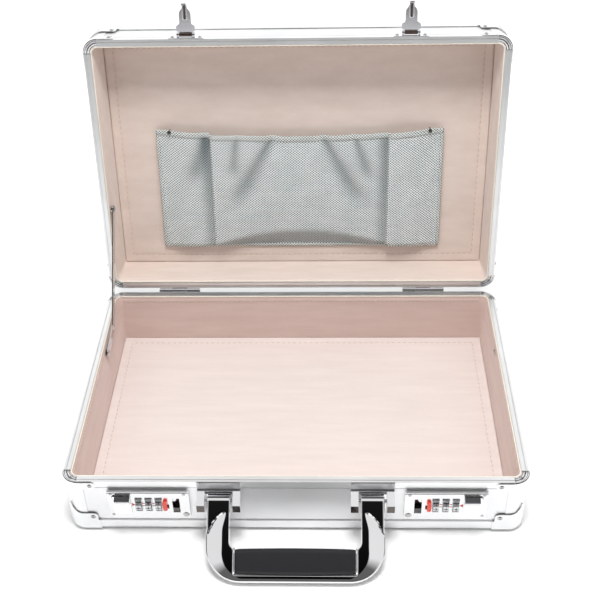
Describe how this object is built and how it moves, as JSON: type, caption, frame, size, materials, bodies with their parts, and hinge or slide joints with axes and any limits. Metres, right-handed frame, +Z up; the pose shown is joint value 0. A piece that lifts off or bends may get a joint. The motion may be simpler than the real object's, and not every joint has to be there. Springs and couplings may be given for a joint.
{
  "type": "attache case",
  "caption": "Hard aluminium attache case standing open, with combination locks, hasps, folding handle, lid stay and net pocket.",
  "frame": {"origin": "centre of the base's footprint, on the surface that the base stands on", "axes": "+X to the case's right as seen from the handle, +Y from the handle towards the hinges, +Z up"},
  "size_m": [0.4546, 0.4738, 0.4006],
  "materials": {
    "satin_aluminium": "satin anodised extrusion",
    "panel_aluminium": "fine brushed sheet",
    "corner_steel": "bright satin pressed steel",
    "rim_chrome": "polished",
    "screw_steel": "domed, bright",
    "board": "bare hardboard",
    "floor_fabric": "short suede pile, pinkish beige",
    "wall_fabric": "short suede pile, pinkish beige",
    "lid_fabric": "short suede pile, pinkish beige",
    "piping": "cream bead",
    "lock_plate": "bright satin plate",
    "lock_inside": "plain plated steel",
    "dial_metal": "dark chrome with paler figures",
    "reset_red": "glossy red",
    "button_chrome": "bright",
    "handle_chrome": "mirror bright",
    "grip_black": "matte black moulded grip",
    "pin_steel": "turned",
    "hinge_steel": "bright",
    "pocket_net": "grey-green diamond net",
    "pocket_band": "grey binding tape",
    "tack_metal": "dark tack",
    "hasp_chrome": "bright",
    "stay_steel": "bright strip"
  },
  "bodies": {
    "base": {"base_bottom_panel": "panel_aluminium", "base_front_panel": "panel_aluminium", "base_side_panels": "panel_aluminium", "base_edge_frame": "satin_aluminium", "base_rim_frame": "satin_aluminium", "base_corner_strips": "satin_aluminium", "base_ball_corners": "corner_steel", "base_rim_corners": "rim_chrome", "base_screws": "screw_steel", "base_floor_board": "board", "base_floor_lining": "floor_fabric", "base_wall_lining": "wall_fabric", "base_piping": "piping", "lock_plate_left": "lock_plate", "lock_plate_right": "lock_plate", "lock_housings": "lock_inside", "lock_rivets": "screw_steel", "dial_axles": "pin_steel", "handle_brackets": "handle_chrome", "handle_pins": "pin_steel", "hinge_base_leaves": "hinge_steel", "hinge_pins": "pin_steel", "stay_base_rivets": "screw_steel"},
    "lid": {"lid_top_panel": "panel_aluminium", "lid_side_panels": "panel_aluminium", "lid_edge_frame": "satin_aluminium", "lid_rim_frame": "satin_aluminium", "lid_corner_strips": "satin_aluminium", "lid_ball_corners": "corner_steel", "lid_rim_corners": "rim_chrome", "lid_screws": "screw_steel", "lid_board": "board", "lid_panel_lining": "lid_fabric", "lid_wall_lining": "wall_fabric", "lid_piping": "piping", "pocket_mesh": "pocket_net", "pocket_hem": "pocket_band", "pocket_tacks": "tack_metal", "hinge_lid_leaves": "hinge_steel", "hasp_plates": "hasp_chrome", "stay_lid_rivet": "screw_steel"},
    "handle": {"handle_bow": "handle_chrome", "handle_grip": "grip_black"},
    "stay": {"stay_bar": "stay_steel"},
    "hasp_left": {"hasp_link_left": "hasp_chrome"},
    "button_left": {"lock_button_left": "button_chrome", "lock_catch_left": "lock_inside"},
    "reset_left": {"reset_lever_left": "reset_red"},
    "dial_left_1": {"dial_left_1": "dial_metal"},
    "dial_left_2": {"dial_left_2": "dial_metal"},
    "dial_left_3": {"dial_left_3": "dial_metal"},
    "hasp_right": {"hasp_link_right": "hasp_chrome"},
    "button_right": {"lock_button_right": "button_chrome", "lock_catch_right": "lock_inside"},
    "reset_right": {"reset_lever_right": "reset_red"},
    "dial_right_1": {"dial_right_1": "dial_metal"},
    "dial_right_2": {"dial_right_2": "dial_metal"},
    "dial_right_3": {"dial_right_3": "dial_metal"}
  },
  "joints": [
    {"name": "lid_hinge", "type": "hinge", "parent": "base", "child": "lid", "pos_m": [0, 0.1502, 0.072], "axis": [1, 0, 0], "range_deg": [0, 100]},
    {"name": "handle_pivot", "type": "hinge", "parent": "base", "child": "handle", "pos_m": [0.0011, -0.155, 0.0535], "axis": [1, 0, 0], "range_deg": [-120, 0]},
    {"name": "stay_pivot", "type": "hinge", "parent": "lid", "child": "stay", "pos_m": [-0.2131, 0.17565, 0.17027], "axis": [1, 0, 0], "range_deg": [-150, 0]},
    {"name": "hasp_left_pivot", "type": "hinge", "parent": "lid", "child": "hasp_left", "pos_m": [-0.1159, 0.20736, 0.36736], "axis": [1, 0, 0], "range_deg": [0, 90], "stiffness_Nm_per_rad": 0.02, "springref_deg": -17.19},
    {"name": "button_left_slide", "type": "slide", "parent": "base", "child": "button_left", "axis": [-1, 0, 0], "range_m": [0, 0.004], "stiffness_N_per_m": 300, "springref_m": -0.002},
    {"name": "reset_left_slide", "type": "slide", "parent": "base", "child": "reset_left", "axis": [1, 0, 0], "range_m": [0, 0.002]},
    {"name": "dial_left_1_turn", "type": "hinge", "parent": "base", "child": "dial_left_1", "pos_m": [-0.1327, -0.147, 0.0415], "axis": [1, 0, 0], "continuous": true},
    {"name": "dial_left_2_turn", "type": "hinge", "parent": "base", "child": "dial_left_2", "pos_m": [-0.1424, -0.147, 0.0415], "axis": [1, 0, 0], "continuous": true},
    {"name": "dial_left_3_turn", "type": "hinge", "parent": "base", "child": "dial_left_3", "pos_m": [-0.1521, -0.147, 0.0415], "axis": [1, 0, 0], "continuous": true},
    {"name": "hasp_right_pivot", "type": "hinge", "parent": "lid", "child": "hasp_right", "pos_m": [0.1195, 0.20736, 0.36736], "axis": [1, 0, 0], "range_deg": [0, 90], "stiffness_Nm_per_rad": 0.02, "springref_deg": -17.19},
    {"name": "button_right_slide", "type": "slide", "parent": "base", "child": "button_right", "axis": [1, 0, 0], "range_m": [0, 0.004], "stiffness_N_per_m": 300, "springref_m": -0.002},
    {"name": "reset_right_slide", "type": "slide", "parent": "base", "child": "reset_right", "axis": [-1, 0, 0], "range_m": [0, 0.002]},
    {"name": "dial_right_1_turn", "type": "hinge", "parent": "base", "child": "dial_right_1", "pos_m": [0.1363, -0.147, 0.0415], "axis": [1, 0, 0], "continuous": true},
    {"name": "dial_right_2_turn", "type": "hinge", "parent": "base", "child": "dial_right_2", "pos_m": [0.146, -0.147, 0.0415], "axis": [1, 0, 0], "continuous": true},
    {"name": "dial_right_3_turn", "type": "hinge", "parent": "base", "child": "dial_right_3", "pos_m": [0.1557, -0.147, 0.0415], "axis": [1, 0, 0], "continuous": true}
  ],
  "couplings": [
    {"joint": "stay_pivot", "follows": "lid_hinge", "ratio": -1.5}
  ]
}
